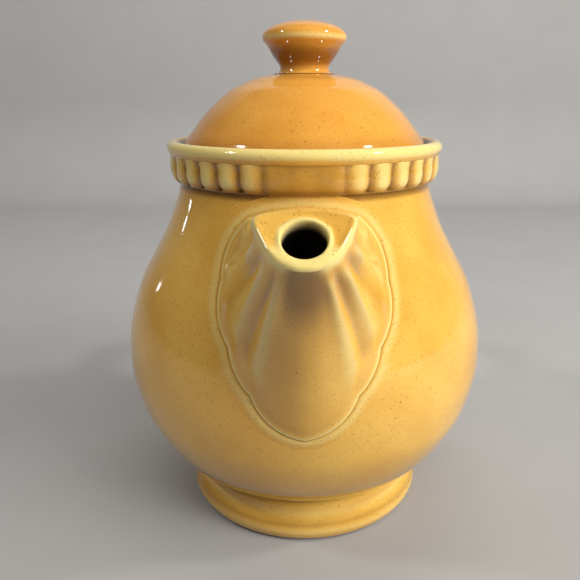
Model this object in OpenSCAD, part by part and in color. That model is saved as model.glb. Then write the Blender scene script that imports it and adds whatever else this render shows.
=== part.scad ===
// Earthenware teapot: pear-shaped pot with a flared foot, a gadrooned rim band, a scalloped
// leaf spout and a loop handle, and a domed lid that lifts out of its seat.
// The origin is on the pot's axis at the table. +Z is up, the spout points along -Y.
// Lengths are in millimetres.

/* [Pot] */
// Largest radius of the belly
belly_r = 72.5; // [70:0.5:75]
// Height of the widest ring of the belly
belly_z = 67; // [64:1:70]
// Outer radius of the neck, just under the rim band
neck_r = 48.7; // [48:0.1:49.2]
// Height where the neck ends and the lid seat begins
neck_z = 139.5; // [138:0.5:140]
// Thickness of the fired wall
wall = 4.5; // [3.5:0.5:5]

/* [Foot] */
// Largest radius of the flared foot
foot_r = 49.5; // [49:0.5:51]
// Height of the foot, where the belly springs from it
foot_h = 17; // [16:0.5:18]
// Radius of the belly where it springs from the foot
waist_r = 45; // [44.5:0.5:46]
// Radius of the recess under the pot
recess_r = 42; // [40:0.5:42.5]

/* [Rim] */
// Height of the top of the rim
rim_z = 150.5; // [149.5:0.5:152]
// Outer radius of the rolled rim
rim_r = 53.2; // [53:0.1:54]
// Height of the ledge that the lid rests on
seat_z = 143.5; // [142.5:0.5:144]
// Number of lobes round the gadrooned band
lobes = 36; // [24:1:40]

/* [Spout] */
// Radius of the round pouring hole
pour_r = 6; // [5:0.5:6]
// Upward tilt of the mouth's face
mouth_tilt = 50; // [45:1:55]
// Distance of the mouth's centre from the pot's axis
mouth_reach = 104; // [100:1:108]
// Height of the mouth's centre
mouth_z = 133.3; // [130:0.1:136]
// Radius of the spout's channel where it meets the wall
root_r = 15; // [13:0.5:15]
// Diameter of one strainer hole
strainer_d = 4.2; // [3:0.1:4.4]

/* [Handle] */
// Width of the handle across its grip
grip_w = 18; // [14:0.5:20]
// Thickness of the handle in line with the pot's axis
grip_t = 11; // [8:0.5:12]
// Furthest reach of the handle's centre line from the pot's axis
handle_reach = 104; // [100:1:106]

/* [Lid] */
// Radius of the lid's dome at its base
lid_r = 46.8; // [46:0.1:47.2]
// Height of the top of the dome, where the knob begins
dome_z = 174.6; // [173:0.2:176]
// Height of the top of the knob
knob_z = 193.2; // [191:0.2:195]
// Largest radius of the knob
knob_r = 15.7; // [15:0.1:16.5]
// Outer radius of the collar that locates the lid in the neck
collar_r = 41.9; // [41:0.1:41.9]
// Depth of that collar below the seat
collar_h = 12; // [8:1:14]

/* [Hidden] */
$fn = 96;

glaze = [0.85, 0.62, 0.25];
lid_glaze = [0.84, 0.55, 0.19];
cream = [0.90, 0.80, 0.50];

luting = 0.1;       // clay slip between two pieces that are turned to fit one round the other
root_luting = 0.15; // clay slip between the spout's faceted root and the pot's round wall
end_luting = 0.4;   // and between the handle's flat-faceted ends and the wall
lid_rest_gap = 0.05; // glaze thickness between the lid and its seat
ledge_r = 42.5;     // inner edge of the seat ledge
gallery_r = 48.2;   // inside of the rim's upstand
upstand_r = 50.2;   // outside of the upstand, under the gadrooned band
roll_z = 146;       // underside of the rolled rim
band_foot_z = 135.5; // lower end of the gadrooned band
root_z = 92;        // height of the centre of the spout's channel at the wall

// The belly's outline as [share of the height, share of the radius], from the foot to the
// widest ring and from the widest ring to the neck.
low_shape = [[0, 0], [0.07, 0.21], [0.16, 0.40], [0.31, 0.61], [0.47, 0.775], [0.62, 0.89], [0.84, 0.98]];
high_shape = [[0, 1], [0.13, 0.975], [0.26, 0.887], [0.41, 0.727], [0.55, 0.496], [0.69, 0.265],
              [0.80, 0.126], [0.88, 0.040], [0.945, 0], [1, 0]];
belly_keys = concat(
    [for (k = low_shape) [waist_r + (belly_r - waist_r) * k[1], foot_h + (belly_z - foot_h) * k[0]]],
    [for (k = high_shape) [neck_r + (belly_r - neck_r) * k[1], belly_z + (neck_z - belly_z) * k[0]]]);

// A smooth curve through a list of points, with a few steps between each pair.
function spline_point(a, b, c, d, t) =
    0.5 * (2 * b + (c - a) * t + (2 * a - 5 * b + 4 * c - d) * t * t + (3 * b - a - 3 * c + d) * t * t * t);
function spline(pts, steps) = concat(
    [for (i = [0 : len(pts) - 2], j = [0 : steps - 1])
        spline_point(pts[max(i - 1, 0)], pts[i], pts[i + 1], pts[min(i + 2, len(pts) - 1)], j / steps)],
    [pts[len(pts) - 1]]);
function turned(list) = [for (i = [len(list) - 1 : -1 : 0]) list[i]];

belly_line = spline(belly_keys, 3);
belly_table = [for (p = belly_line) [p[1], p[0]]];
function belly_radius(z) = lookup(z, belly_table);
// The point just off the pot's outer skin at side offset x and height z, on the spout's side or the handle's.
function spout_skin(x, z) =
    let (r = belly_radius(z) + root_luting) [x, -sqrt(r * r - x * x), z];
function handle_skin(x, z) =
    let (r = belly_radius(z) + end_luting) [x, sqrt(r * r - x * x), z];

// A closed skin through rings of equal numbers of points, the last ring joined to the first.
module ring_skin(rings) {
    n = len(rings);
    m = len(rings[0]);
    polyhedron(
        points = [for (r = rings, p = r) p],
        faces = [for (i = [0 : n - 1], j = [0 : m - 1], half = [0, 1])
            let (a = i * m + j, b = i * m + (j + 1) % m, c = (i + 1) % n * m + j, d = (i + 1) % n * m + (j + 1) % m)
                half == 0 ? [a, b, d] : [a, d, c]],
        convexity = 8);
}

// ---- Pot ----

module wall_shell() {
    inner = [for (p = turned(belly_line)) [p[0] - wall, p[1]]];
    rotate_extrude()
        polygon(concat(belly_line, inner));
}

module strainer_plug(r) {
    translate([0, 0, root_z])
        rotate([90, 0, 0])
            cylinder(r = r, h = belly_r + wall);
}

module pot_wall() {
    color(glaze)
        difference() {
            wall_shell();
            strainer_plug(root_r);
        }
}

module pot_base() {
    color(glaze)
        translate([0, 0, foot_h - wall])
            cylinder(r = recess_r - luting, h = wall);
}

module foot_ring() {
    flare = spline([[foot_r - 3.5, 0], [foot_r - 1, 1.8], [foot_r, 5.5], [foot_r - 0.4, 8.5],
                    [foot_r - 2.8, 11.8], [waist_r + 1.2, 14.8], [waist_r, foot_h]], 2);
    color(glaze)
        rotate_extrude()
            polygon(concat(flare, [[recess_r, foot_h], [recess_r, 2], [recess_r + 1.5, 0]]));
}

module rim_gallery() {
    roll = spline([[upstand_r, roll_z], [rim_r - 0.8, roll_z + 0.1], [rim_r, roll_z + 2],
                   [rim_r - 0.7, rim_z - 0.9], [rim_r - 2.2, rim_z], [gallery_r + 1, rim_z - 0.6],
                   [gallery_r, rim_z - 2.2]], 2);
    color(cream)
        rotate_extrude()
            polygon(concat([[ledge_r, neck_z], [neck_r, neck_z], [upstand_r, neck_z]], roll,
                           [[gallery_r, seat_z], [ledge_r, seat_z]]));
}

module gadroon_band() {
    lobe_r = rim_r - 1;
    groove_r = 1.5;
    color(glaze)
        difference() {
            rotate_extrude()
                polygon([[neck_r + luting, band_foot_z], [lobe_r - 1.7, band_foot_z + 0.5],
                         [lobe_r - 0.4, band_foot_z + 2.5], [lobe_r, band_foot_z + 5], [lobe_r, roll_z - luting],
                         [upstand_r + luting, roll_z - luting], [upstand_r + luting, neck_z - luting],
                         [neck_r + luting, neck_z - luting]]);
            for (i = [0 : lobes - 1])
                rotate([0, 0, (i + 0.5) * 360 / lobes])
                    translate([0, -lobe_r - groove_r / 2, band_foot_z - 1])
                        cylinder(r = groove_r, h = roll_z - band_foot_z + 1, $fn = 16);
        }
}

module strainer() {
    pitch = strainer_d * 1.5;
    color(cream)
        difference() {
            intersection() {
                wall_shell();
                strainer_plug(root_r);
            }
            for (row = [-2 : 2], k = [-2 : 2])
                let (x = (k + (row % 2 == 0 ? 0 : 0.5)) * pitch, z = row * pitch * sin(60))
                    if (norm([x, z]) < root_r - strainer_d * 0.7)
                        translate([x, 0, root_z + z])
                            rotate([90, 0, 0])
                                cylinder(d = strainer_d, h = belly_r + wall, $fn = 16);
        }
}

// ---- Spout ----
// The leaf's edge on the wall, right half from the bottom tip to the top, as [x, z, bulge]. The edge
// bulges outwards between two notches. The mouth's outline has the same stations, as [x, up, bulge]
// in the mouth's own plane.
leaf_notches = [[0, 59, 3.2], [17.7, 74.3, 1.4], [24.8, 88.7, 2.3], [27.9, 108, 2.4], [19, 128, 0.8], [0, 131.5, 0]];
mouth_notches = [[0, -9.2, 0.5], [4.5, -8.5, 0.4], [8, -5.8, 0.3], [10.8, 0, 0.2], [12.6, 7.8, 0.6], [0, 9.8, 0]];
edge_steps = 5;
skin_rings = 11;
bore_rings = 6;
root_rings = 4;

function edge_point(notches, i, t) =
    let (a = notches[i], b = notches[i + 1], run = [b[0] - a[0], b[1] - a[1]], out = [run[1], -run[0]] / norm(run))
        [a[0], a[1]] + run * t + out * a[2] * 4 * t * (1 - t);
function half_edge(notches) =
    [for (i = [0 : len(notches) - 2], j = [0 : edge_steps - 1]) edge_point(notches, i, j / edge_steps)];
// The whole edge, anticlockwise as seen from the front, from the bottom up the right and down the left.
function whole_edge(notches) =
    let (right = half_edge(notches), top = notches[len(notches) - 1], n = len(right))
        concat(right, [[top[0], top[1]]], [for (i = [n - 1 : -1 : 1]) [-right[i][0], right[i][1]]]);

function in_mouth(u, v) =
    [u, -mouth_reach + v * sin(mouth_tilt), mouth_z + v * cos(mouth_tilt)];
function mix(a, b, t) = a * (1 - t) + b * t;
function bezier(a, b, c, d, t) =
    a * pow(1 - t, 3) + b * 3 * t * pow(1 - t, 2) + c * 3 * t * t * (1 - t) + d * pow(t, 3);
spout_way = [0, -0.72, 0.69]; // direction of the spout near its mouth

module spout() {
    leaf = whole_edge(leaf_notches);
    mouth = whole_edge(mouth_notches);
    n = len(leaf);
    // angles of the mouth's points about the hole, so that its rings don't twist
    turn = [for (p = mouth) atan2(p[0], -p[1])];
    skin = [for (k = [0 : skin_rings]) [for (i = [0 : n - 1])
        let (root = spout_skin(leaf[i][0], leaf[i][1]), tip = in_mouth(mouth[i][0], mouth[i][1]),
             rise = max(0, -mouth[i][1]) / 9.2,
             inward = [(tip[0] - root[0]) * 0.3, 0, 0], first = root + inward + [0, -5 - 3 * rise, 4 + 16 * rise],
             last = tip - inward - spout_way * (14 + 8 * rise))
            bezier(root, first, last, tip, k / skin_rings)]];
    bore = [for (k = [0 : bore_rings]) [for (i = [0 : n - 1])
        let (tip = in_mouth(pour_r * sin(turn[i]), -pour_r * cos(turn[i])),
             root = spout_skin(root_r * sin(turn[i]), root_z - root_r * cos(turn[i])))
            bezier(tip, tip - spout_way * 12, root + [0, -12, 8], root, k / bore_rings)]];
    foot = [for (k = [1 : root_rings - 1]) [for (i = [0 : n - 1])
        let (t = k / root_rings, x = mix(root_r * sin(turn[i]), leaf[i][0], t),
             z = mix(root_z - root_r * cos(turn[i]), leaf[i][1], t))
            spout_skin(x, z)]];
    color(glaze)
        ring_skin(concat(skin, bore, foot));
}

// ---- Handle ----

module handle() {
    path = spline([[52.2, 122], [62, 129.5], [78, 133], [93, 127], [handle_reach - 1, 112], [handle_reach, 95],
                   [handle_reach - 8, 77], [85, 65], [76, 60], [70, 57]], 3);
    last = len(path) - 1;
    sides = 16;
    function way(i) = let (d = path[min(i + 1, last)] - path[max(i - 1, 0)]) d / norm(d);
    function ring(i) =
        let (w = way(i), end = pow(abs(2 * i / last - 1), 6), half_w = grip_w / 2 + 3 * end, half_t = grip_t / 2 + 1.5 * end)
            [for (j = [0 : sides - 1]) let (a = 360 * j / sides, up = half_t * cos(a))
                [half_w * sin(a), path[i][0] - w[1] * up, path[i][1] + w[0] * up]];
    function landed(points) = [for (p = points) handle_skin(p[0], p[2])];
    inner = [for (i = [1 : last - 1]) ring(i)];
    rings = concat([landed(ring(0))], inner, [landed(ring(last))]);
    n = len(rings);
    color(glaze)
        polyhedron(
            points = concat([for (r = rings, p = r) p], [handle_skin(0, path[0][1]), handle_skin(0, path[last][1])]),
            faces = concat(
                [for (i = [0 : n - 2], j = [0 : sides - 1], half = [0, 1])
                    let (a = i * sides + j, b = i * sides + (j + 1) % sides, c = a + sides, d = b + sides)
                        half == 0 ? [a, d, b] : [a, c, d]],
                [for (j = [0 : sides - 1]) [j, (j + 1) % sides, n * sides]],
                [for (j = [0 : sides - 1]) [(n - 1) * sides + (j + 1) % sides, (n - 1) * sides + j, n * sides + 1]]),
            convexity = 4);
}

// ---- Lid ----

lid_z = seat_z + lid_rest_gap;
knob_neck_r = 9.4;
lid_wall = 4;

module lid_dome() {
    outer = spline([[lid_r - 0.3, lid_z], [lid_r, lid_z + 2.5], [43.3, dome_z - 21], [37.2, dome_z - 13.6],
                    [29.5, dome_z - 6.8], [20.4, dome_z - 2.2], [knob_neck_r, dome_z]], 3);
    // the inside follows the outside, a wall's thickness below it
    inner = spline([[0, dome_z - lid_wall], [18, dome_z - lid_wall - 2.2], [27, dome_z - lid_wall - 7],
                    [34.5, dome_z - lid_wall - 14], [collar_r - 3.4, lid_z + 6], [collar_r - 3.4, lid_z]], 3);
    color(lid_glaze)
        rotate_extrude()
            polygon(concat(outer, [[0, dome_z]], inner));
}

module lid_collar() {
    color(lid_glaze)
        translate([0, 0, lid_z - collar_h])
            difference() {
                cylinder(r = collar_r, h = collar_h);
                translate([0, 0, -1])
                    cylinder(r = collar_r - 3.4, h = collar_h + 2);
            }
}

module lid_knob() {
    side = spline([[knob_neck_r - 0.1, dome_z + 1.6], [knob_neck_r + 0.6, dome_z + 3.4],
                   [knob_r - 0.6, knob_z - 7.6], [knob_r, knob_z - 5.8], [knob_r - 1.7, knob_z - 3.5],
                   [knob_r - 5.6, knob_z - 1.5], [knob_r - 10.5, knob_z - 0.3], [0, knob_z]], 3);
    color(lid_glaze)
        rotate_extrude()
            polygon(concat([[0, dome_z], [knob_neck_r, dome_z]], side));
}

pot_wall();
pot_base();
foot_ring();
rim_gallery();
gadroon_band();
spout();
strainer();
handle();
lid_dome();
lid_collar();
lid_knob();
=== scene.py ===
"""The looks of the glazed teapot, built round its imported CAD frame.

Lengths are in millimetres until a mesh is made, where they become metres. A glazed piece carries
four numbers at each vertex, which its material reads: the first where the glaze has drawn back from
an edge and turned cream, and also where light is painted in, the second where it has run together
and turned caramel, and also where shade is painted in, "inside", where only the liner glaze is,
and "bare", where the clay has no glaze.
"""

import bmesh
import bpy
import numpy as np
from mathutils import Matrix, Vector


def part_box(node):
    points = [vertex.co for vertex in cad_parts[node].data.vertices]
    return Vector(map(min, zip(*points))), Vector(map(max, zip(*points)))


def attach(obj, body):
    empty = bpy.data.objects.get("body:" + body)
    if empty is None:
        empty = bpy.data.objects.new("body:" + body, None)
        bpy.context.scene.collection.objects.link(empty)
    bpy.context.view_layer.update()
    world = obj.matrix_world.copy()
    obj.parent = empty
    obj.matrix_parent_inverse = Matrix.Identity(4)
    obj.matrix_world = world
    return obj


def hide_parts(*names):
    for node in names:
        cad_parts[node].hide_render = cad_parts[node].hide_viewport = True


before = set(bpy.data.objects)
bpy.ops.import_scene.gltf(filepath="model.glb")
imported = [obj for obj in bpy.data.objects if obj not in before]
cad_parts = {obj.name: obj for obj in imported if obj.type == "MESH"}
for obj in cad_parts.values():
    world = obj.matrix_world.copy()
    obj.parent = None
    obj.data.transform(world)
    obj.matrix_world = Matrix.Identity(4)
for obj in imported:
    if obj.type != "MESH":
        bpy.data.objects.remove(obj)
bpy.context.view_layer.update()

MM = 0.001
TURN_STEPS = 288  # points round a turned piece
AXIS_R = 0.3  # where a turned line that closes on the axis starts


def box_mm(node):
    """The lowest and highest corner of a CAD node, in millimetres."""
    low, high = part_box(node)
    return np.array(low) / MM, np.array(high) / MM


# ---------------------------------------------------------------- small geometry helpers


def smoothstep(low, high, value):
    t = np.clip((np.asarray(value, float) - low) / (high - low), 0, 1)
    return t * t * (3 - 2 * t)


def bump(value, centre, width):
    return np.exp(-(((np.asarray(value, float) - centre) / width) ** 2))


def curve_through(points, spacing):
    """Evenly spaced points on a smooth curve through the given ones."""
    p = np.array(points, float)
    p = np.vstack([2 * p[0] - p[1], p, 2 * p[-1] - p[-2]])
    t = np.linspace(0, 1, 24, endpoint=False)[:, None]
    spans = []
    for a, b, c, d in zip(p, p[1:], p[2:], p[3:]):
        square, cube = 2 * a - 5 * b + 4 * c - d, 3 * b - a - 3 * c + d
        spans.append(0.5 * (2 * b + (c - a) * t + square * t**2 + cube * t**3))
    fine = np.vstack(spans + [p[-2:-1]])
    along = np.concatenate([[0], np.cumsum(np.linalg.norm(np.diff(fine, axis=0), axis=1))])
    stops = np.linspace(0, along[-1], max(2, int(along[-1] / spacing) + 1))
    return np.stack([np.interp(stops, along, fine[:, k]) for k in range(fine.shape[1])], axis=1)


def outline(*runs, spacing=0.6):
    """One line made of smooth runs of (radius, height), with a corner where two runs meet."""
    lines = [curve_through(run, spacing) for run in runs]
    return np.vstack([line[:-1] for line in lines[:-1]] + [lines[-1]])


def rounded(rings, passes, loop=True):
    """Rings with the corners across them softened."""
    for _ in range(passes):
        before, after = np.roll(rings, 1, axis=0), np.roll(rings, -1, axis=0)
        if not loop:
            before[0], after[-1] = rings[0], rings[-1]
        rings = (before + 4 * rings + after) / 6
    return rings


# ---------------------------------------------------------------- meshes


def skin(name, rings, loop=True):
    """A closed mesh through rings of equal numbers of points. The last ring joins the first, or else
    each end is closed by a point in the middle of its ring."""
    rings = np.asarray(rings, float)
    count, size = rings.shape[:2]
    points = rings.reshape(-1, 3)
    ring = np.arange(count if loop else count - 1)[:, None]
    step = np.arange(size)[None, :]
    a = ring * size + step
    b = ring * size + (step + 1) % size
    c = (ring + 1) % count * size + (step + 1) % size
    d = (ring + 1) % count * size + step
    faces = np.stack([a, b, c, d], axis=-1).reshape(-1, 4).tolist()
    if not loop:
        first, last = len(points), len(points) + 1
        points = np.vstack([points, rings[0].mean(0), rings[-1].mean(0)])
        base = (count - 1) * size
        faces += [((k + 1) % size, k, first) for k in range(size)]
        faces += [(base + k, base + (k + 1) % size, last) for k in range(size)]
    return piece(name, points, faces)


def piece(name, points, faces):
    """A smooth-shaded object from points in millimetres."""
    mesh = bpy.data.meshes.new(name)
    mesh.from_pydata((np.asarray(points) * MM).tolist(), [], faces)
    tidy = bmesh.new()
    tidy.from_mesh(mesh)
    bmesh.ops.recalc_face_normals(tidy, faces=tidy.faces)
    tidy.to_mesh(mesh)
    tidy.free()
    mesh.polygons.foreach_set("use_smooth", [True] * len(mesh.polygons))
    obj = bpy.data.objects.new(name, mesh)
    bpy.context.scene.collection.objects.link(obj)
    return obj


def turned(line, wave=None):
    """Rings of a turned shape from its (radius, height) line. wave(angle, height) adds to the radius."""
    angle = np.linspace(0, 2 * np.pi, TURN_STEPS, endpoint=False)[None, :]
    radius, height = line[:, :1], line[:, 1:] + 0 * angle
    if wave is not None:
        radius = radius + wave(angle, height)
    return np.stack([radius * np.sin(angle), -radius * np.cos(angle), height], axis=-1)


def points_of(obj):
    co = np.zeros(len(obj.data.vertices) * 3)
    obj.data.vertices.foreach_get("co", co)
    return co.reshape(-1, 3) / MM


def hollowness(obj, passes=14):
    """How far each point lies below its neighbourhood, in millimetres: more than 0 in a hollow, and
    less than 0 on an edge."""
    mesh, co = obj.data, points_of(obj)
    edges = np.zeros(len(mesh.edges) * 2, int)
    mesh.edges.foreach_get("vertices", edges)
    a, b = edges.reshape(-1, 2).T
    share = np.bincount(a, minlength=len(co)) + np.bincount(b, minlength=len(co))
    even = co.copy()
    for _ in range(passes):
        total = [
            np.bincount(a, even[b, k], len(co)) + np.bincount(b, even[a, k], len(co)) for k in range(3)
        ]
        even = np.stack(total, axis=1) / share[:, None]
    normal = np.zeros(len(co) * 3)
    mesh.vertices.foreach_get("normal", normal)
    return ((even - co) * normal.reshape(-1, 3)).sum(1)


def paint(obj, thin_and_lit=0.0, pool_and_shade=0.0, inside=0.0, bare=0.0, edges=1.0):
    """Stores what the glaze material reads. Edges and hollows are also found from the shape itself,
    and "edges" says how strongly."""
    depth = hollowness(obj) * edges
    count = len(depth)
    found = {
        "thin_and_lit": smoothstep(0.04, 0.30, -depth) + thin_and_lit,
        "pool_and_shade": smoothstep(0.03, 0.22, depth) + pool_and_shade,
        "inside": inside + np.zeros(count),
        "bare": bare + np.zeros(count),
    }
    for name, value in found.items():
        layer = obj.data.attributes.new(name, "FLOAT", "POINT")
        layer.data.foreach_set("value", np.clip(value + np.zeros(count), 0, 1).astype(np.float32))


def finish_piece(obj, body, material, slot, *nodes):
    obj.data.materials.append(material)
    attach(obj, body)
    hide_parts(*nodes)
    return obj


# ---------------------------------------------------------------- materials


class Shader:
    """Short calls for making a material's nodes. Each value given is a constant or a node's output."""

    def __init__(self, name):
        self.material = bpy.data.materials.new(name)
        self.material.use_nodes = True
        self.nodes = self.material.node_tree.nodes
        self.links = self.material.node_tree.links
        self.nodes.clear()
        self.surface = self.nodes.new("ShaderNodeBsdfPrincipled")
        output = self.nodes.new("ShaderNodeOutputMaterial")
        self.links.new(self.surface.outputs[0], output.inputs["Surface"])
        self.place = self.nodes.new("ShaderNodeTexCoord").outputs["Object"]

    def feed(self, socket, value):
        if isinstance(value, bpy.types.NodeSocket):
            self.links.new(value, socket)
        else:
            socket.default_value = value

    def set(self, **values):
        for name, value in values.items():
            self.feed(self.surface.inputs[name.replace("_", " ")], value)

    def painted(self, name):
        found = self.nodes.new("ShaderNodeAttribute")
        found.attribute_name = name
        return found.outputs["Fac"]

    def noise(self, size_mm, detail=3.0, rough=0.55):
        found = self.nodes.new("ShaderNodeTexNoise")
        self.feed(found.inputs["Vector"], self.place)
        self.feed(found.inputs["Scale"], 1 / (size_mm * MM))
        self.feed(found.inputs["Detail"], detail)
        self.feed(found.inputs["Roughness"], rough)
        return found.outputs["Fac"]

    def math(self, how, a, b=0.0):
        found = self.nodes.new("ShaderNodeMath")
        found.operation = how
        found.use_clamp = how != "SUBTRACT"
        self.feed(found.inputs[0], a)
        self.feed(found.inputs[1], b)
        return found.outputs[0]

    def ramp(self, value, low, high):
        """0 below low, 1 above high, or the other way round where low is above high."""
        found = self.nodes.new("ShaderNodeMapRange")
        found.interpolation_type = "SMOOTHSTEP"
        self.feed(found.inputs["Value"], value)
        for name, level in (("From Min", min(low, high)), ("From Max", max(low, high))):
            self.feed(found.inputs[name], level)
        self.feed(found.inputs["To Min"], 0.0 if low < high else 1.0)
        self.feed(found.inputs["To Max"], 1.0 if low < high else 0.0)
        return found.outputs["Result"]

    def mix(self, share, a, b):
        found = self.nodes.new("ShaderNodeMix")
        found.data_type = "RGBA"
        self.feed(found.inputs[0], share)
        self.feed(found.inputs[6], a if isinstance(a, bpy.types.NodeSocket) else (*a, 1.0))
        self.feed(found.inputs[7], b if isinstance(b, bpy.types.NodeSocket) else (*b, 1.0))
        return found.outputs[2]

    def specks(self, cell_mm, radius, share):
        """1 in a round speck. radius is in cells, and share is the part of the cells with a speck."""
        found = self.nodes.new("ShaderNodeTexVoronoi")
        self.feed(found.inputs["Vector"], self.place)
        self.feed(found.inputs["Scale"], 1 / (cell_mm * MM))
        split = self.nodes.new("ShaderNodeSeparateColor")
        self.feed(split.inputs[0], found.outputs["Color"])
        chosen = self.ramp(split.outputs[0], share + 0.02, share)
        size = self.math("MULTIPLY", split.outputs[1], radius)
        near = self.math("DIVIDE", found.outputs["Distance"], size)
        return self.math("MULTIPLY", chosen, self.ramp(near, 1.0, 0.5))

    def bump(self, height, distance_mm, strength=1.0):
        found = self.nodes.new("ShaderNodeBump")
        self.feed(found.inputs["Height"], height)
        self.feed(found.inputs["Distance"], distance_mm * MM)
        self.feed(found.inputs["Strength"], strength)
        return found.outputs[0]


# CARAMEL and RUSSET colour pooled glaze, and also painted shade. Under the knob RUSSET is also a painted
# reflection of the dome.
CREAM = (0.74, 0.58, 0.20)
CARAMEL = (0.215, 0.094, 0.013)
RUSSET = (0.17, 0.050, 0.005)
LINER = (0.20, 0.16, 0.10)
# Near black: painted shade in hollows inside the pot and down the spout's channel.
INSIDE_SHADE = (0.012, 0.009, 0.006)
CLAY = (0.52, 0.40, 0.26)
IRON = (0.10, 0.035, 0.008)


def glaze(name, colour, deep=CARAMEL, thin_colour=CREAM):
    """Glossy earthenware glaze with iron specks. It breaks to cream on edges and deepens in hollows. It also
    turns cream where light is painted in, and dark where shade is painted in.
    """
    s = Shader(name)
    grain = s.noise(1.1, detail=4, rough=0.75)
    light = tuple(min(1.0, c * k) for c, k in zip(colour, (1.03, 1.08, 1.22)))
    dark = tuple(c * k for c, k in zip(colour, (0.88, 0.80, 0.64)))
    base = s.mix(s.ramp(s.noise(30, detail=2), 0.22, 0.78), dark, light)
    base = s.mix(s.math("MULTIPLY", s.ramp(grain, 0.46, 0.66), 0.55), base, dark)
    edge = s.math("ADD", s.painted("thin_and_lit"), s.math("MULTIPLY", s.math("SUBTRACT", s.noise(5), 0.5), 0.25))
    base = s.mix(s.ramp(edge, 0.08, 0.95), base, thin_colour)
    hollow = s.math("ADD", s.painted("pool_and_shade"), s.math("MULTIPLY", s.math("SUBTRACT", s.noise(7), 0.5), 0.25))
    hollow = s.ramp(hollow, 0.12, 1.0)
    base = s.mix(s.math("MULTIPLY", hollow, 0.85), base, deep)
    # Inside, the liner darkens to near black as painted shade in hollows and deep places.
    base = s.mix(s.painted("inside"), base, s.mix(hollow, LINER, INSIDE_SHADE))
    base = s.mix(s.math("MULTIPLY", s.specks(0.9, 0.38, 0.70), 0.50), base, IRON)
    base = s.mix(s.math("MULTIPLY", s.specks(2.6, 0.15, 0.40), 0.75), base, IRON)
    base = s.mix(s.painted("bare"), base, s.mix(s.noise(0.8, detail=5), IRON, CLAY))
    gloss = s.math("ADD", s.math("MULTIPLY", s.noise(9), 0.06), 0.05)
    s.set(Base_Color=base, Roughness=s.math("ADD", gloss, s.painted("bare")), IOR=1.52)
    s.set(Coat_Weight=0.3, Coat_Roughness=0.03)
    ripple = s.math("ADD", s.noise(11, detail=1), s.math("MULTIPLY", s.noise(1.6, detail=1), 0.04))
    s.set(Normal=s.bump(ripple, 0.10, 0.35))
    return s.material


def matte(name, colour, shade, grain_mm):
    """An even studio surface with a faint cloudiness."""
    s = Shader(name)
    s.set(Base_Color=s.mix(s.noise(grain_mm), colour, shade), Roughness=0.75)
    return s.material


POT = glaze("mustard_glaze", (0.72, 0.405, 0.070))
LID = glaze("amber_glaze", (0.67, 0.305, 0.046), deep=RUSSET)
INNER = glaze("liner_glaze", LINER)

# ---------------------------------------------------------------- the pot's outer line

wall_low, wall_high = box_mm("pot_wall")
foot_high = box_mm("foot_ring")[1]
rim_low, rim_high = box_mm("rim_gallery")
band_low, band_high = box_mm("gadroon_band")
spout_low, spout_high = box_mm("spout")
handle_low, handle_high = box_mm("handle")
dome_low, dome_high = box_mm("lid_dome")
collar_low, collar_high = box_mm("lid_collar")
knob_low, knob_high = box_mm("lid_knob")
base_low, base_high = box_mm("pot_base")


def read_wall():
    """Heights with the wall's outer and inner radius, from the back half of the CAD wall, which has
    no hole."""
    co = points_of(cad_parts["pot_wall"])
    co = co[co[:, 1] > 1.0]
    heights = np.unique(co[:, 2].round(2))
    radius = np.hypot(co[:, 0], co[:, 1])
    rows = []
    for z in heights:
        here = radius[abs(co[:, 2] - z) < 0.006]
        if here.max() - here.min() > 1.0:
            rows.append((z, here.max(), here.min()))
    return np.array(rows)


WALL = read_wall()
WALL_THICK = float(np.median(WALL[:, 1] - WALL[:, 2]))


def belly(z):
    """The wall's outer radius at height z, on a smooth curve through the CAD wall's own rings."""
    heights, radii = WALL[:, 0], WALL[:, 1]
    slopes = np.gradient(radii, heights)
    z = np.clip(np.asarray(z, float), heights[0], heights[-1])
    i = np.clip(np.searchsorted(heights, z) - 1, 0, len(heights) - 2)
    run = heights[i + 1] - heights[i]
    t = (z - heights[i]) / run
    h0, h1 = (1 + 2 * t) * (1 - t) ** 2, t * t * (3 - 2 * t)
    m0, m1 = t * (1 - t) ** 2, t * t * (t - 1)
    return h0 * radii[i] + h1 * radii[i + 1] + run * (m0 * slopes[i] + m1 * slopes[i + 1])


def on_belly(x, z, side, lift=0.0):
    """The point at side offset x and height z on the pot's skin, or a lift above it. side is -1 for
    the spout's side and 1 for the handle's."""
    r = belly(z)
    y = side * np.sqrt(np.maximum(r * r - x * x, 0))
    slope = belly(z + 0.5) - belly(z - 0.5)
    normal = np.stack([x / r, y / r, -slope], axis=-1)
    normal /= np.linalg.norm(normal, axis=-1, keepdims=True)
    return np.stack([x, y, z + 0 * x], axis=-1) + np.asarray(lift)[..., None] * normal


# ---------------------------------------------------------------- pot wall and base


SPOUT_HOLE_R = 15.0
SPOUT_HOLE_Z = (box_mm("strainer")[0][2] + box_mm("strainer")[1][2]) / 2
FOOT_BEAD_Z = 1.9  # height of the fine raised line over the foot, above the wall's lower end
RING_GAP = 0.95  # height between two of the wall's rings
NEIGHBOURS = [(up, on) for up in (-1, 0, 1) for on in (-1, 0, 1) if (up, on) != (0, 0)]


def open_hole(outer, inner):
    """Which of the wall's points lie on the edge of the spout's hole, and which lie inside it. The
    edge's points are moved out to the circle itself, on both skins."""
    away = np.hypot(outer[..., 0], outer[..., 2] - SPOUT_HOLE_Z)
    away[outer[..., 1] > 0] = np.inf
    hole = away < SPOUT_HOLE_R
    surrounded = np.logical_and.reduce([np.roll(hole, step, (0, 1)) for step in NEIGHBOURS])
    edge = hole & ~surrounded
    grow = SPOUT_HOLE_R / away[edge]
    x = outer[edge][:, 0] * grow
    height = SPOUT_HOLE_Z + (outer[edge][:, 2] - SPOUT_HOLE_Z) * grow
    outer[edge] = on_belly(x, height, -1)
    r_in = belly(height) - WALL_THICK
    inner[edge] = np.stack([x, -np.sqrt(r_in**2 - x**2), height], axis=1)
    return edge, hole & ~edge


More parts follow.
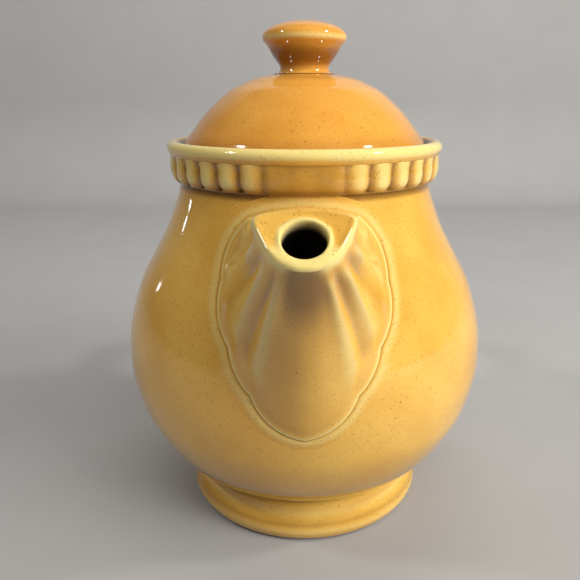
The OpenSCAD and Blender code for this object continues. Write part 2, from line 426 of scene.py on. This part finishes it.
def wall_faces(edge, gone):
    """The faces of the outer skin, of the inner skin, and of the borders that join the two."""
    count, size = edge.shape
    index = np.arange(count * size).reshape(count, size)
    outer = []
    for i in range(count - 1):
        for j in range(size):
            k = (j + 1) % size
            corners = ((i, j), (i, k), (i + 1, k), (i + 1, j))
            if not any(gone[c] for c in corners) and not all(edge[c] for c in corners):
                outer.append(tuple(index[c] for c in corners))
    inner = [tuple(v + index.size for v in reversed(quad)) for quad in outer]
    sides = dict.fromkeys(side for quad in outer for side in zip(quad, quad[1:] + quad[:1]))
    borders = [(a, b) for a, b in sides if (b, a) not in sides]
    return outer + inner + [(b, a, a + index.size, b + index.size) for a, b in borders]


def drop_loose_points(obj):
    mesh = bmesh.new()
    mesh.from_mesh(obj.data)
    bmesh.ops.delete(mesh, geom=[v for v in mesh.verts if not v.link_faces], context="VERTS")
    mesh.to_mesh(obj.data)
    mesh.free()


def make_wall():
    """The wall, outside and inside, with the round hole behind the spout."""
    z = np.linspace(wall_low[2], wall_high[2], int((wall_high[2] - wall_low[2]) / RING_GAP))
    bead = 0.45 * bump(z - wall_low[2], FOOT_BEAD_Z, 0.7)
    outer = turned(np.stack([belly(z) + bead, z], axis=1))
    inner = turned(np.stack([belly(z) - WALL_THICK, z], axis=1))
    edge, gone = open_hole(outer, inner)
    points = np.vstack([outer.reshape(-1, 3), inner.reshape(-1, 3)])
    obj = piece("pot_wall_glazed", points, wall_faces(edge, gone))
    drop_loose_points(obj)

    co = points_of(obj)
    up = co[:, 2] - wall_low[2]
    inside = (np.hypot(co[:, 0], co[:, 1]) < belly(co[:, 2]) - WALL_THICK / 2).astype(float)
    # Painted shade: a dark line in the band's shadow, the crease over the foot, which also has pooled glaze,
    # and the lower belly darker towards the bottom, as painted shade and a painted reflection of the floor.
    under_band = smoothstep(wall_high[2] - 8.0, wall_high[2] - 4.8, co[:, 2])
    crease = smoothstep(3.2, 0.2, up)
    low_shade = smoothstep(48, 0, up)
    pool_and_shade = 1.0 * under_band + 0.6 * crease + 0.62 * low_shade
    paint(obj, thin_and_lit=0.30 * bump(up, FOOT_BEAD_Z, 0.9), pool_and_shade=pool_and_shade, inside=inside, edges=0)
    return finish_piece(obj, "pot", POT, "pot_glaze", "pot_wall")


def make_base():
    """The pot's floor, with the round corner inside where it meets the wall."""
    top, corner = base_high[2], 9.0
    wall_in = float(belly(top + corner)) - WALL_THICK
    line = outline(
        [(AXIS_R, base_low[2]), (base_high[0], base_low[2])],
        [(base_high[0], base_low[2]), (base_high[0], top - 0.3)],
        [(base_high[0], top - 0.3), (wall_in + 0.6, top + corner)],
        [(wall_in + 0.6, top + corner), (wall_in - 0.3, top + corner - 0.6), (wall_in - 5, top + 3.2),
         (wall_in - 12, top + 0.9), (wall_in - 22, top + 0.1), (AXIS_R, top + 0.05)],
    )
    obj = skin("pot_floor", turned(line), loop=False)
    up = points_of(obj)[:, 2] > base_low[2] + 1
    paint(obj, thin_and_lit=np.where(up, 0, 0.25), inside=np.where(up, 1.0, 0.0))
    return finish_piece(obj, "pot", POT, "pot_glaze", "pot_base")


def make_foot():
    """The flared foot: a cove under the belly, a round edge, and a bare rim to stand on."""
    r, h = foot_high[0], foot_high[2]
    waist = float(belly(wall_low[2]))
    inner = base_high[0] + 0.1
    rest = r - 3.5
    line = outline(
        [(rest, 0), (r - 1.6, 1.3), (r - 0.2, 3.8), (r, 6.0), (r - 0.8, 8.4), (r - 3.0, 11.4),
         (waist + 1.0, 14.3), (waist - 0.2, h - 0.6), (waist - 0.4, h)],
        [(waist - 0.4, h), (inner, h)],
        [(inner, h), (inner, 2.0)],
        [(inner, 2.0), (inner + 1.5, 0)],
        [(inner + 1.5, 0), (rest, 0)],
    )[:-1]
    obj = skin("foot_flare", rounded(turned(line), 2))
    co = points_of(obj)
    outside = smoothstep(rest - 1.0, rest + 1.5, np.hypot(co[:, 0], co[:, 1]))
    # The cove's cream is painted light on the flare's upward face. The crease under the belly has pooled
    # glaze and painted shade.
    cove = bump(co[:, 2], 11.8, 1.8) * outside
    band = bump(co[:, 2], 8.0, 1.3) * outside
    lip = bump(co[:, 2], 5.0, 1.6) * outside
    crease = smoothstep(h - 2.6, h - 0.4, co[:, 2])
    pool_and_shade = 0.6 * crease + 0.32 * band + 0.22 * outside
    paint(obj, thin_and_lit=0.55 * cove + 0.45 * lip, pool_and_shade=pool_and_shade, bare=smoothstep(1.3, 0.8, co[:, 2]), edges=0)
    return finish_piece(obj, "pot", POT, "foot_glaze", "foot_ring")


# ---------------------------------------------------------------- rim and gadroons


def make_rim():
    """The rolled rim and the ledge inside it that the lid sits on."""
    r, top = rim_high[0], rim_high[2]
    seat = collar_high[2] - 0.05
    ledge, upstand = collar_high[0] + 0.6, r - 5.0
    neck = float(belly(wall_high[2]))
    line = outline(
        [(neck, rim_low[2]), (upstand + 0.4, rim_low[2]), (upstand + 0.4, top - 5.4)],
        [(upstand + 0.4, top - 5.4), (r - 1.3, top - 5.3), (r - 0.9, top - 4.4), (r - 0.3, top - 3.5),
         (r, top - 2.3), (r - 0.6, top - 1.0), (r - 1.9, top - 0.1), (r - 3.2, top - 0.2),
         (r - 4.5, top - 1.1), (upstand, top - 2.8), (upstand + 0.1, seat + 1.6),
         (upstand - 1.2, seat + 0.1), (upstand - 2.4, seat)],
        [(upstand - 2.4, seat), (ledge, seat)],
        [(ledge, seat), (ledge, rim_low[2])],
        [(ledge, rim_low[2]), (neck, rim_low[2])],
    )[:-1]
    obj = skin("rolled_rim", rounded(turned(line), 2))
    co = points_of(obj)
    radius = np.hypot(co[:, 0], co[:, 1])
    roll = smoothstep(upstand + 0.6, upstand + 2.4, radius) * smoothstep(top - 4.8, top - 3.4, co[:, 2])
    # The roll's upper part gets extra cream as painted light, and the gallery inside gets painted shade.
    lit = smoothstep(top - 4.4, top - 2.6, co[:, 2])
    gallery = smoothstep(upstand + 1.6, upstand + 0.2, radius)
    paint(obj, thin_and_lit=roll * (0.35 + 0.45 * lit), inside=gallery, pool_and_shade=0.12 * gallery, edges=0.2)
    return finish_piece(obj, "pot", POT, "rim_glaze", "rim_gallery")


LOBES = 36
LOBE_DEPTH = 1.6
FADE_FROM, FADE_TO = np.radians(9), np.radians(24)  # the lobes fade out over the spout between these


def lobe_presence(angle):
    turn = np.abs((angle + np.pi) % (2 * np.pi) - np.pi)
    return 0.06 + 0.94 * smoothstep(FADE_FROM, FADE_TO, turn)


def lobe_crest(angle):
    """1 on the middle of a lobe and 0 in the groove beside it."""
    across = (angle * LOBES / (2 * np.pi) + 0.5) % 1.0 * 2 - 1
    return 1 - np.abs(across) ** 2.4


def make_gadroons():
    """The band of upright lobes under the rim. Over the spout they all but fade out."""
    r, low, high = band_high[1], band_low[2], band_high[2]
    back = rim_high[0] - 3.1
    neck = float(belly(low))
    line = outline(
        [(neck + 0.2, low - 0.2), (r - 2.0, low + 0.2), (r - 0.5, low + 2.0), (r, low + 4.6),
         (r - 0.1, high - 2.4), (r - 0.2, high)],
        [(r - 0.2, high), (back, high)],
        [(back, high), (back, low + 4.1)],
        [(back, low + 4.1), (neck - 1.2, low + 4.0)],
        [(neck - 1.2, low + 4.0), (neck + 0.2, low - 0.2)],
        spacing=0.45,
    )[:-1]
    on_face = (line[:, :1] > back + 0.3).astype(float)

    def wave(angle, height):
        at_top, at_foot = smoothstep(high, high - 3.5, height), smoothstep(low + 4, low + 0.5, height)
        reach = 0.25 + 0.75 * at_top + 0.5 * at_foot
        return LOBE_DEPTH * lobe_presence(angle) * reach * (lobe_crest(angle) - 1) * on_face

    obj = skin("gadroon_lobes", rounded(turned(line, wave), 1))
    co = points_of(obj)
    angle = np.arctan2(co[:, 0], -co[:, 1])
    here, crest = lobe_presence(angle), lobe_crest(angle)
    swell = crest**2 * smoothstep(low + 0.6, low + 3.0, co[:, 2])
    foot = smoothstep(low + 2.0, low - 0.2, co[:, 2])
    top = smoothstep(high - 1.8, high - 0.4, co[:, 2])
    shade = 0.18 + 0.48 * (1 - here) + 0.6 * foot + 0.15 * top
    pool_and_shade = 0.62 * (1 - crest) * here + shade * (1 - 0.8 * swell * here)
    paint(obj, thin_and_lit=0.62 * swell * here, pool_and_shade=pool_and_shade, edges=0.2)
    return finish_piece(obj, "pot", POT, "rim_glaze", "gadroon_band")


# ---------------------------------------------------------------- spout

# The leaf's edge on the belly, right half from the bottom tip to the top, in shares of the spout's
# half width and height, with how far the edge bulges out before the next notch. The mouth's
# outline has the same stations in its own plane, in millimetres.
LEAF = [(0, 0, 3.2), (0.614, 0.190, 1.4), (0.860, 0.368, 2.3), (0.967, 0.608, 2.4),
        (0.659, 0.856, 0.8), (0, 0.900, 0)]
MOUTH = [(0, -9.2, 0.5), (4.6, -7.9, 0.5), (8.0, -5.0, 0.4), (10.7, 0.3, 0.2), (13.9, 7.9, 0.7),
         (0, 9.9, 0)]
MOUTH_DROP = -MOUTH[0][1]
MOUTH_TILT = np.radians(50)
MOUTH_CENTRE = np.array([0.0, spout_low[1] + 7.1, spout_high[2] - 6.3])
EDGE_STEPS = 30
POUR_R = 5.4  # the glaze narrows the 6 mm hole
SPOUT_WAY = np.array([0, -0.72, 0.69])
SWELL_REACH = 6.5  # how far outside the leaf's edge the belly starts to swell

# The rings of the leaf's border as (where, lift, thin, pool). For the soft swelling, "where" is the
# share of the way to the leaf's edge. For the groove and the raised edge, it is in millimetres
# inwards from it.
SWELLING = [(0, -0.3, 0, 0), (0.08, -0.08, 0, 0), (0.18, 0.0, 0, 0), (0.3, 0.05, 0.06, 0),
            (0.5, 0.16, 0.30, 0), (0.7, 0.30, 0.50, 0), (0.85, 0.37, 0.55, 0), (0.93, 0.30, 0.35, 0.1)]
RAISED_EDGE = [(-0.25, 0.12, 0.1, 0.45), (0.05, 0.10, 0, 0.55), (0.30, 0.45, 0.2, 0.15),
               (0.60, 0.85, 0.75, 0), (0.95, 1.02, 0.7, 0), (1.5, 0.98, 0.3, 0)]

# How far along each of the other rings is: over the body, across the mouth's face, down the
# channel, and back under the leaf. The rows are numbered from the border's first ring.
BODY = np.linspace(0, 1, 52)[1:]
FACE = np.linspace(0, 1, 17)[1:-1]
CHANNEL = np.linspace(0, 1, 30)[1:]
UNDERSIDE = np.linspace(0, 1, 12)[1:-1]
BODY_ROW = len(SWELLING) + len(RAISED_EDGE)
FACE_ROW = BODY_ROW + len(BODY)
CHANNEL_ROW = FACE_ROW + len(FACE)


def edge_line(stations):
    """The whole edge, from the bottom up the right and down the left, and where among the stations
    each of its points is."""
    points, places = [], []
    for i, ((ax, az, out), (bx, bz, _)) in enumerate(zip(stations, stations[1:])):
        t = np.linspace(0, 1, EDGE_STEPS, endpoint=False)
        run = np.array([bx - ax, bz - az])
        away = np.array([run[1], -run[0]]) / np.linalg.norm(run)
        bulge = away * (out * 4 * t * (1 - t))[:, None]
        points.append(np.array([ax, az]) + run * t[:, None] + bulge)
        places.append(i + t)
    right = np.vstack(points + [[stations[-1][:2]]])
    place = np.concatenate(places + [[len(stations) - 1]])
    left = right[-2:0:-1] * [-1, 1]
    return np.vstack([right, left]), np.concatenate([place, place[-2:0:-1]])


def around(values, passes):
    """Values round a closed line, smoothed along it."""
    for _ in range(passes):
        values = (np.roll(values, 1, 0) + 2 * values + np.roll(values, -1, 0)) / 4
    return values


def inwards(line, passes=0):
    """The unit way inwards at each point of a closed line."""
    along = around(np.roll(line, -1, 0) - np.roll(line, 1, 0), passes)
    return np.stack([-along[:, 1], along[:, 0]], axis=1) / np.linalg.norm(along, axis=1)[:, None]


def from_hole(mouth):
    """The unit way from the hole's centre to each point of the mouth's outline."""
    return mouth / np.linalg.norm(mouth, axis=1)[:, None]


def in_mouth(u, v, lift=0.0):
    face = np.array([0, -np.cos(MOUTH_TILT), np.sin(MOUTH_TILT)])
    up = np.array([0, np.sin(MOUTH_TILT), np.cos(MOUTH_TILT)])
    flat = MOUTH_CENTRE + np.multiply.outer(u, np.array([1.0, 0, 0])) + np.multiply.outer(v, up)
    return flat + np.multiply.outer(lift + 0 * u, face)


def bezier(a, b, c, d, t):
    return a * (1 - t) ** 3 + b * 3 * t * (1 - t) ** 2 + c * 3 * t * t * (1 - t) + d * t**3


def ribs(place):
    """How much of a rib and of a valley there is at each place round the leaf. The ribs run to the
    notches 1 to 3."""
    rib = sum(bump(place, n, w) for n, w in ((1, 0.24), (2, 0.26), (3, 0.26)))
    valley = sum(bump(place, n, w) for n, w in ((1.5, 0.26), (2.5, 0.26), (3.52, 0.28)))
    return rib, valley


def border_rings(leaf, outer_edge):
    """A soft swelling of the belly, a fine groove, then the leaf's raised edge."""
    way = inwards(leaf, 3)
    spots = [(outer_edge * (1 - share) + leaf * share, lift) for share, lift, _, _ in SWELLING]
    spots += [(leaf + way * step, lift) for step, lift, _, _ in RAISED_EDGE]
    return [on_belly(spot[:, 0], spot[:, 1], -1, lift) for spot, lift in spots]


def body_rings(root, mouth, place):
    """The body of the spout, with its ribs, from the raised edge to the mouth's outline."""
    tip = in_mouth(mouth[:, 0], mouth[:, 1])
    rise = np.maximum(0, -mouth[:, 1]) / MOUTH_DROP
    narrowing = (tip[:, 0] - root[:, 0]) * 0.3
    first = root + np.stack([narrowing, -5 - 3 * rise, 4 + 16 * rise], axis=1)
    last = tip - SPOUT_WAY * (14 + 8 * rise)[:, None] - np.stack([narrowing, 0 * rise, 0 * rise], axis=1)
    smooth = [int(90 * t * (1 - t) ** 0.5) for t in BODY]
    sheet = np.stack([around(bezier(root, first, last, tip, t), n) for t, n in zip(BODY, smooth)])
    out = np.cross(np.roll(sheet, -1, 1) - np.roll(sheet, 1, 1), np.gradient(sheet, axis=0))
    out /= np.linalg.norm(out, axis=2, keepdims=True)
    rib, valley = ribs(place)
    strong = (smoothstep(0.0, 0.22, BODY) * smoothstep(1.0, 0.80, BODY))[:, None]
    relief = strong * (1.0 * rib - 0.8 * valley)
    return list(sheet + out * relief[:, :, None])


def face_rings(mouth):
    """The mouth: a rounded lip, the face, and the roll round the hole."""
    way = from_hole(mouth)
    gap = np.linalg.norm(mouth, axis=1) - POUR_R
    low_lip = smoothstep(-0.1, 0.85, -way[:, 1])
    rings = []
    for q in FACE:
        spot = mouth * (1 - q) + way * POUR_R * q
        upper = 0.75 * bump(gap * (1 - q), 0.65, 0.70) + 0.55 * bump(gap * q, 0.9, 0.6)
        lift = upper * (1 - low_lip) + 0.9 * low_lip * np.sin(np.pi * q) ** 0.6
        rings.append(in_mouth(spot[:, 0], spot[:, 1], lift))
    return rings


def channel_rings(mouth, outer_edge):
    """The channel back to the hole in the wall, then the hidden side of the leaf."""
    way = from_hole(mouth)
    rim = in_mouth(POUR_R * way[:, 0], POUR_R * way[:, 1])
    base = SPOUT_HOLE_R * way + [0, SPOUT_HOLE_Z]
    back = on_belly(base[:, 0], base[:, 1], -1, -0.3)
    rings = [bezier(rim, rim - SPOUT_WAY * 12, back + np.array([0, -12, 8]), back, t) for t in CHANNEL]
    for t in UNDERSIDE:
        spot = base * (1 - t) + outer_edge * t
        rings.append(on_belly(spot[:, 0], spot[:, 1], -1, -0.7))
    return rings


def softened(rings, first, last, passes):
    """Rings with the rows from first to last evened out along the spout."""
    for _ in range(passes):
        rows = rings[first - 1:last - 1] + 2 * rings[first:last] + rings[first + 1:last + 1]
        rings[first:last] = rows / 4
    return rings


def make_spout():
    """The spout, from its leaf over the ribs to the mouth, and back through the channel."""
    half, height = spout_high[0], spout_high[2] - spout_low[2]
    leaf, place = edge_line([(x * half, spout_low[2] + z * height, out) for x, z, out in LEAF])
    mouth = around(edge_line(MOUTH)[0], 50)
    calm = around(leaf, 160)
    outer_edge = calm - SWELL_REACH * inwards(calm)
    rings = border_rings(leaf, outer_edge)
    rings += body_rings(rings[-1], mouth, place)
    rings += face_rings(mouth)
    rings += channel_rings(mouth, outer_edge)
    rings = softened(np.array(rings), FACE_ROW - 3, FACE_ROW + 5, 4)
    obj = skin("leaf_spout", rounded(rings, 2))
    paint_spout(obj, len(rings), place, mouth)
    return finish_piece(obj, "pot", POT, "spout_glaze", "spout")


def paint_spout(obj, rows, place, mouth):
    """The glaze on the rings: each of the first three calls fills in the rows of its own part."""
    shape = (rows, len(place))
    thin_and_lit, pool_and_shade, inside, edges = np.zeros(shape), np.zeros(shape), np.zeros(shape), np.full(shape, 0.3)
    glaze_border(thin_and_lit, pool_and_shade, place)
    glaze_body(thin_and_lit, pool_and_shade, place)
    glaze_face(thin_and_lit, pool_and_shade, place, mouth)
    thin_and_lit[CHANNEL_ROW] = 1.0
    # Down the channel the liner darkens to near black as painted shade.
    deep = np.arange(rows - CHANNEL_ROW)[:, None]
    inside[CHANNEL_ROW:] = smoothstep(-1, 0.9, deep)
    pool_and_shade[CHANNEL_ROW:] = smoothstep(0.2, 1.8, deep)
    edges[:5] = 0
    edges[CHANNEL_ROW:] = 0
    paint(obj, thin_and_lit.reshape(-1), pool_and_shade.reshape(-1), inside.reshape(-1), edges=edges.reshape(-1))


def glaze_border(thin_and_lit, pool_and_shade, place):
    """Cream on the raised edge and caramel in its groove, which fades out at the shoulders."""
    shoulder = smoothstep(3.35, 3.8, place)
    for row, (_, _, pale, deep) in enumerate(SWELLING + RAISED_EDGE):
        thin_and_lit[row] = pale + 0.3 * deep * shoulder
        pool_and_shade[row] = deep * (1 - shoulder)


def glaze_body(thin_and_lit, pool_and_shade, place):
    """Cream ribs and upper edge, caramel valleys, a painted shadow in the middle under the lip, and painted
    shade low in the middle.
    """
    rows, t = slice(BODY_ROW, FACE_ROW), BODY[:, None]
    rib, valley = ribs(place)
    fade = smoothstep(0.02, 0.25, t) * smoothstep(1.02, 0.85, t)
    middle = smoothstep(1.6, 0.1, place)
    thin_and_lit[rows] = 0.55 * fade * rib + 0.25 * smoothstep(0.06, 0.0, t)
    thin_and_lit[rows] += 0.9 * smoothstep(0.93, 1.0, t)
    thin_and_lit[rows] += 0.7 * bump(place, 4.0, 0.35) * smoothstep(0.05, 0.4, t)
    pool_and_shade[rows] = 0.46 * fade * valley
    # Painted shadow of the lip in the middle, and painted shade low on the leaf's middle.
    pool_and_shade[rows] += middle * (1.2 * bump(t, 0.92, 0.26) + 0.35 * bump(t, 0.04, 0.07))
    pool_and_shade[rows] += 0.25 * smoothstep(4.1, 4.5, place)


def glaze_face(thin_and_lit, pool_and_shade, place, mouth):
    """Cream on the lower lip, round the hole and on the face's edge, and deeper between them."""
    gap = np.linalg.norm(mouth, axis=1) - POUR_R
    low_lip = smoothstep(-0.1, 0.7, -from_hole(mouth)[:, 1])
    below_top = smoothstep(4.3, 4.0, place)
    for row, q in enumerate(FACE, FACE_ROW):
        roll = 0.95 * smoothstep(2.5, 1.1, gap * (1 - q))
        brim = 0.8 * smoothstep(1.0, 0.3, gap * q) * below_top
        thin_and_lit[row] = np.maximum(np.maximum(low_lip, roll), brim)
        pool_and_shade[row] = 0.36 * smoothstep(1.6, 3.0, gap * (1 - q)) * (1 - low_lip)


# ---------------------------------------------------------------- handle

# The handle's centre line in shares of the handle's box, from its top root to its bottom root.
HANDLE_LINE = [(0.0, 0.80), (0.20, 0.885), (0.46, 0.922), (0.71, 0.86), (0.877, 0.68), (0.897, 0.485),
               (0.77, 0.28), (0.58, 0.14), (0.43, 0.085), (0.33, 0.05)]
GRIP_HALF_W, GRIP_HALF_T = 9.0, 5.5


def make_handle():
    """A plain loop with an oval grip, flared where it is luted to the wall."""
    corner, reach = handle_low[1:], handle_high[1:] - handle_low[1:]
    line = curve_through([corner + share * reach for share in np.array(HANDLE_LINE)], 1.2)
    way = np.gradient(line, axis=0)
    way /= np.linalg.norm(way, axis=1)[:, None]
    share = np.linspace(-1, 1, len(line))
    end = np.abs(share) ** 6
    half_w = GRIP_HALF_W + 3.0 * end
    half_t = GRIP_HALF_T + 1.5 * end
    a = np.linspace(0, 2 * np.pi, 64, endpoint=False)[None, :]
    # an oval section, a little squarer than an ellipse
    up = half_t[:, None] * np.sign(np.cos(a)) * np.abs(np.cos(a)) ** 0.9
    x = half_w[:, None] * np.sign(np.sin(a)) * np.abs(np.sin(a)) ** 0.9
    y = line[:, :1] - way[:, 1:] * up
    z = line[:, 1:] + way[:, :1] * up
    rings = np.stack([x, y, z], axis=-1)
    ends = [on_belly(ring[:, 0], ring[:, 2], 1, -0.8) for ring in (rings[0], rings[-1])]
    rings = np.concatenate([[ends[0]], rings[2:-2], [ends[1]]])
    obj = skin("loop_handle", rings, loop=False)
    co = points_of(obj)
    near = np.hypot(co[:, 0], co[:, 1]) - belly(co[:, 2])
    outside = smoothstep(0.55, 0.95, np.abs(co[:, 0]) / handle_high[0])
    paint(obj, thin_and_lit=0.20 * bump(near, 6, 4) + 0.25 * outside, pool_and_shade=0.7 * smoothstep(2.5, 0.2, near), edges=0)
    return finish_piece(obj, "pot", POT, "pot_glaze", "handle")


# ---------------------------------------------------------------- lid


KNOB_NECK_R = 9.4
COLLAR_WALL = 3.4
# The dome's inside from the middle down, as (radius, depth below the dome's top).
DOME_INSIDE = [(18, 6.2), (27, 11), (34.5, 18)]


def make_dome():
    """The lid's dome, hollow underneath, with a soft fillet up to the knob."""
    r, low, top = dome_high[0], dome_low[2], dome_high[2]
    under = collar_high[0] - COLLAR_WALL
    inner = [(radius, top - depth) for radius, depth in DOME_INSIDE] + [(under, low + 6)]
    line = outline(
        [(AXIS_R, top - 4.0)] + inner + [(under, low)],
        [(under, low), (r - 0.9, low)],
        [(r - 0.9, low), (r - 0.3, low + 0.5), (r, low + 2.5), (r - 1.0, low + 6.4), (43.3, top - 21),
         (37.2, top - 13.6), (29.5, top - 6.8), (24.0, top - 3.9), (20.4, top - 2.3), (15.5, top - 1.0),
         (11.8, top - 0.5), (KNOB_NECK_R, top + 0.1)],
        [(KNOB_NECK_R, top + 0.1), (KNOB_NECK_R - 2, top), (AXIS_R, top)],
    )
    obj = skin("lid_dome_glazed", rounded(turned(line), 1, loop=False), loop=False)
    co = points_of(obj)
    radii, heights = zip((0, top - 4), *inner, (under, low))
    outside = np.hypot(co[:, 0], co[:, 1]) > np.interp(co[:, 2], heights[::-1], radii[::-1]) + 1.5
    base = smoothstep(low + 13.0, low + 7.5, co[:, 2])
    paint(obj, pool_and_shade=0.38 * base * outside, inside=np.where(outside, 0, 0.9), edges=0)
    return finish_piece(obj, "lid", LID, "lid_glaze", "lid_dome")


def make_collar():
    """The ring under the lid that keeps it in the neck."""
    outer, inner = collar_high[0], collar_high[0] - COLLAR_WALL
    low, high = collar_low[2], collar_high[2]
    line = outline(
        [(outer, high), (outer, low + 1.2)],
        [(outer, low + 1.2), (outer - 0.5, low + 0.3), (outer - 1.7, low), (inner + 0.5, low + 0.3),
         (inner, low + 1.2)],
        [(inner, low + 1.2), (inner, high)],
        [(inner, high), (outer, high)],
    )[:-1]
    obj = skin("lid_locating_ring", rounded(turned(line), 1))
    paint(obj, inside=0.85)
    return finish_piece(obj, "lid", LID, "inner_glaze", "lid_collar")


def make_knob():
    """The turned knob: a narrow neck that flares into a cone with a rounded top."""
    r, low, top = knob_high[0], knob_low[2], knob_high[2]
    neck = KNOB_NECK_R
    line = outline(
        [(AXIS_R, low - 0.3), (neck + 2.0, low - 0.35), (neck + 0.7, low + 0.1), (neck + 0.1, low + 0.9),
         (neck - 0.15, low + 2.0), (neck + 0.5, low + 3.3), (neck + 2.6, low + 6.2), (r - 2.0, low + 9.4),
         (r - 0.35, low + 11.3), (r, low + 12.7), (r - 0.6, low + 14.3), (r - 2.6, low + 15.9),
         (r - 5.7, top - 1.4), (r - 10.5, top - 0.3), (AXIS_R, top)],
    )
    obj = skin("lid_knob_glazed", turned(line), loop=False)
    z = points_of(obj)[:, 2]
    # The neck and underside are darker and redder as painted shade and a painted reflection of the dome.
    under = bump(z, low + 5.8, 4.2)
    paint(obj, thin_and_lit=0.60 * bump(z, low + 12.4, 1.2), pool_and_shade=under, edges=0.1)
    return finish_piece(obj, "lid", LID, "lid_glaze", "lid_knob")


# ---------------------------------------------------------------- stage, light and camera


def make_stage():
    """A pale floor that curves up into a pale backdrop, in metres."""
    wall_y, bend, reach, half_width = 0.86, 0.16, 1.6, 2.4
    turn = np.linspace(0, np.pi / 2, 17)
    curve = [(wall_y - bend + bend * np.sin(t), bend * (1 - np.cos(t))) for t in turn]
    profile = [(-reach, 0.0)] + curve + [(wall_y, reach)]
    points = [(x, y, z) for y, z in profile for x in (-half_width, half_width)]
    faces = [(2 * i, 2 * i + 1, 2 * i + 3, 2 * i + 2) for i in range(len(profile) - 1)]
    obj = piece("studio_sweep", np.array(points) / MM, faces)
    obj.data.materials.append(matte("studio_floor", (0.34, 0.33, 0.32), (0.38, 0.37, 0.36), 60))


def area_light(name, place, aim, size, power, colour=(1, 1, 1)):
    data = bpy.data.lights.new(name, "AREA")
    data.shape = "RECTANGLE"
    data.size, data.size_y = size
    data.energy = power
    data.color = colour
    obj = bpy.data.objects.new(name, data)
    obj.location = place
    obj.rotation_euler = (Vector(aim) - Vector(place)).to_track_quat("-Z", "Y").to_euler()
    bpy.context.scene.collection.objects.link(obj)
    return obj


# The point inside the pot that every light but the backdrop's faces, in metres.
AIM = np.array([0.0, 0.0, 0.09])


def make_lights():
    world = bpy.data.worlds.new("studio_air")
    world.use_nodes = True
    world.node_tree.nodes["Background"].inputs["Color"].default_value = (0.86, 0.85, 0.82, 1)
    world.node_tree.nodes["Background"].inputs["Strength"].default_value = 0.12
    bpy.context.scene.world = world
    aim = tuple(AIM)
    key = area_light("key_softbox", (1.10, -0.65, 0.60), aim, (0.8, 0.8), 21, (1.0, 1.0, 0.97))
    top = area_light("front_top_softbox", (0.35, -0.85, 1.15), aim, (0.9, 0.7), 6.5)
    back = area_light("backdrop_softbox", (0.0, 0.35, 1.20), (0, 0.9, 0.35), (1.2, 0.3), 6.0)
    for softbox in (key, top, back):
        softbox.visible_glossy = False
    area_light("left_lamp", (-0.85, -0.25, 0.95), aim, (0.13, 0.09), 3.2)
    area_light("right_lamp", (0.85, -0.25, 0.95), aim, (0.13, 0.09), 4.2)
    area_at("window_strip", -117, 8, 1.2, (0.010, 0.060), 0.09)


def area_at(name, azimuth, elevation, distance, *rest):
    """An area light in the given direction from the pot. The azimuth turns from the front to the
    right, in degrees."""
    a, e = np.radians(azimuth), np.radians(elevation)
    way = np.array([np.sin(a) * np.cos(e), -np.cos(a) * np.cos(e), np.sin(e)])
    return area_light(name, tuple(AIM + distance * way), tuple(AIM), *rest)


def make_camera():
    """The view from in front of the spout and a little above the rim."""
    data = bpy.data.cameras.new("front_camera")
    data.sensor_width = 36
    data.lens = 38.48
    data.shift_x = -0.025
    data.clip_start = 0.01
    camera = bpy.data.objects.new("front_camera", data)
    camera.location = (0, -0.250, 0.1667)
    camera.rotation_euler = (np.radians(90 - 17.46), 0, 0)
    bpy.context.scene.collection.objects.link(camera)
    bpy.context.scene.camera = camera


make_camera()
make_lights()
make_stage()
make_wall()
make_base()
make_foot()
make_rim()
make_gadroons()
make_spout()
make_handle()
make_dome()
make_collar()
make_knob()

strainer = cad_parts["strainer"]
strainer.data.materials.clear()
strainer.data.materials.append(INNER)

bpy.context.scene.view_settings.view_transform = "Standard"
